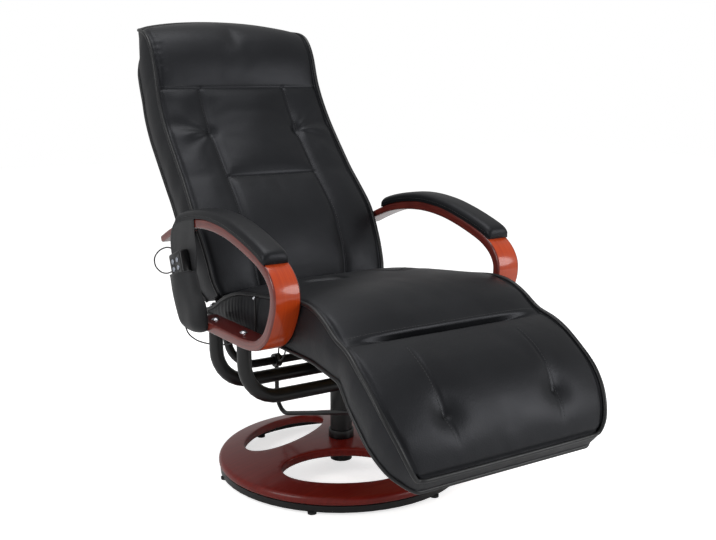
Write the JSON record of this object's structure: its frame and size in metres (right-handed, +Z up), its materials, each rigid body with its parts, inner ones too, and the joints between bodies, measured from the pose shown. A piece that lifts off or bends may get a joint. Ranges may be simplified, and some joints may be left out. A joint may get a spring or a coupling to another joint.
{
  "type": "massage recliner",
  "caption": "Swivel massage recliner with bent plywood arms, padded seat, reclining back, linked footrest, round wooden base and a corded handset in a side pouch.",
  "frame": {"origin": "on the floor under the middle of the overall box", "axes": "+Z up, the chair faces -Y, the sitter's right arm is at -X"},
  "size_m": [0.6704, 1.2754, 1.0609],
  "materials": {
    "black_leather": "satin",
    "mahogany_lacquer": "gloss",
    "cherry_lacquer": "gloss",
    "black_powder_coat": "satin",
    "zinc_plate": "satin",
    "black_plastic": "satin",
    "silver_plastic": "satin",
    "black_rubber": "matte",
    "birch_plywood": "matte",
    "black_nylon": "matte"
  },
  "bodies": {
    "base": {"base_disc": "mahogany_lacquer", "base_ring": "black_powder_coat", "foot_1": "black_rubber", "foot_2": "black_rubber", "foot_3": "black_rubber", "foot_4": "black_rubber", "foot_5": "black_rubber", "foot_6": "black_rubber", "column": "black_powder_coat", "column_collar": "black_powder_coat", "column_nut": "black_powder_coat", "column_bush": "black_plastic"},
    "frame": {"arm_bolt_left_front": "zinc_plate", "arm_bolt_left_rear": "zinc_plate", "arm_bolt_right_front": "zinc_plate", "arm_bolt_right_rear": "zinc_plate", "arm_left": "cherry_lacquer", "arm_pad_left": "black_leather", "arm_pad_right": "black_leather", "arm_right": "cherry_lacquer", "back_pivot_bolt_left": "zinc_plate", "back_pivot_bolt_right": "zinc_plate", "control_box": "black_plastic", "cord_gland": "black_plastic", "foot_pivot_pin_left": "zinc_plate", "foot_pivot_pin_right": "zinc_plate", "front_u_tube": "black_powder_coat", "handset_cord": "black_rubber", "motor_lead": "black_rubber", "pouch": "black_nylon", "rear_u_tube": "black_powder_coat", "seat_board": "birch_plywood", "seat_bracket_left": "black_powder_coat", "seat_bracket_right": "black_powder_coat", "seat_cushion": "black_leather", "seat_motor_left": "black_plastic", "seat_motor_right": "black_plastic", "seat_rail_left": "black_powder_coat", "seat_rail_right": "black_powder_coat", "spindle": "black_powder_coat", "swivel_plate": "black_powder_coat"},
    "backrest": {"back_frame": "black_powder_coat", "back_cushion": "black_leather", "back_panel": "black_leather", "back_motor_lower_left": "black_plastic", "back_motor_lower_right": "black_plastic", "back_motor_upper_left": "black_plastic", "back_motor_upper_right": "black_plastic"},
    "footrest": {"footrest_cushion": "black_leather", "footrest_frame": "black_powder_coat", "footrest_motor": "black_plastic"},
    "push_rods": {"push_rod_left": "black_powder_coat", "push_rod_right": "black_powder_coat"},
    "handset": {"handset_case": "black_plastic"},
    "button_1": {"handset_button_1": "silver_plastic"},
    "button_2": {"handset_button_2": "silver_plastic"},
    "button_3": {"handset_button_3": "silver_plastic"},
    "button_4": {"handset_button_4": "silver_plastic"}
  },
  "joints": [
    {"name": "swivel", "type": "hinge", "parent": "base", "child": "frame", "pos_m": [0.01415, -0.00772, 0], "axis": [0, 0, 1], "continuous": true},
    {"name": "backrest_recline", "type": "hinge", "parent": "frame", "child": "backrest", "pos_m": [0.01415, 0.20728, 0.379], "axis": [-1, 0, 0], "range_deg": [-15, 20]},
    {"name": "footrest_lift", "type": "hinge", "parent": "frame", "child": "footrest", "pos_m": [0.01415, -0.40572, 0.398], "axis": [-1, 0, 0], "range_deg": [-22.5, 30]},
    {"name": "push_rod_swing", "type": "hinge", "parent": "backrest", "child": "push_rods", "pos_m": [0.01415, 0.14728, 0.24], "axis": [-1, 0, 0], "range_deg": [-20.6, 15.5]},
    {"name": "handset_lift", "type": "slide", "parent": "frame", "child": "handset", "axis": [0, 0.342, 0.9397], "range_m": [0, 0.12]},
    {"name": "button_press_1", "type": "slide", "parent": "handset", "child": "button_1", "axis": [1, 0, 0], "range_m": [0, 0.0012], "stiffness_N_per_m": 400},
    {"name": "button_press_2", "type": "slide", "parent": "handset", "child": "button_2", "axis": [1, 0, 0], "range_m": [0, 0.0012], "stiffness_N_per_m": 400},
    {"name": "button_press_3", "type": "slide", "parent": "handset", "child": "button_3", "axis": [1, 0, 0], "range_m": [0, 0.0012], "stiffness_N_per_m": 400},
    {"name": "button_press_4", "type": "slide", "parent": "handset", "child": "button_4", "axis": [1, 0, 0], "range_m": [0, 0.0012], "stiffness_N_per_m": 400}
  ],
  "couplings": [
    {"joint": "footrest_lift", "follows": "backrest_recline", "ratio": 1.5},
    {"joint": "push_rod_swing", "follows": "backrest_recline", "ratio": -1.0265}
  ]
}
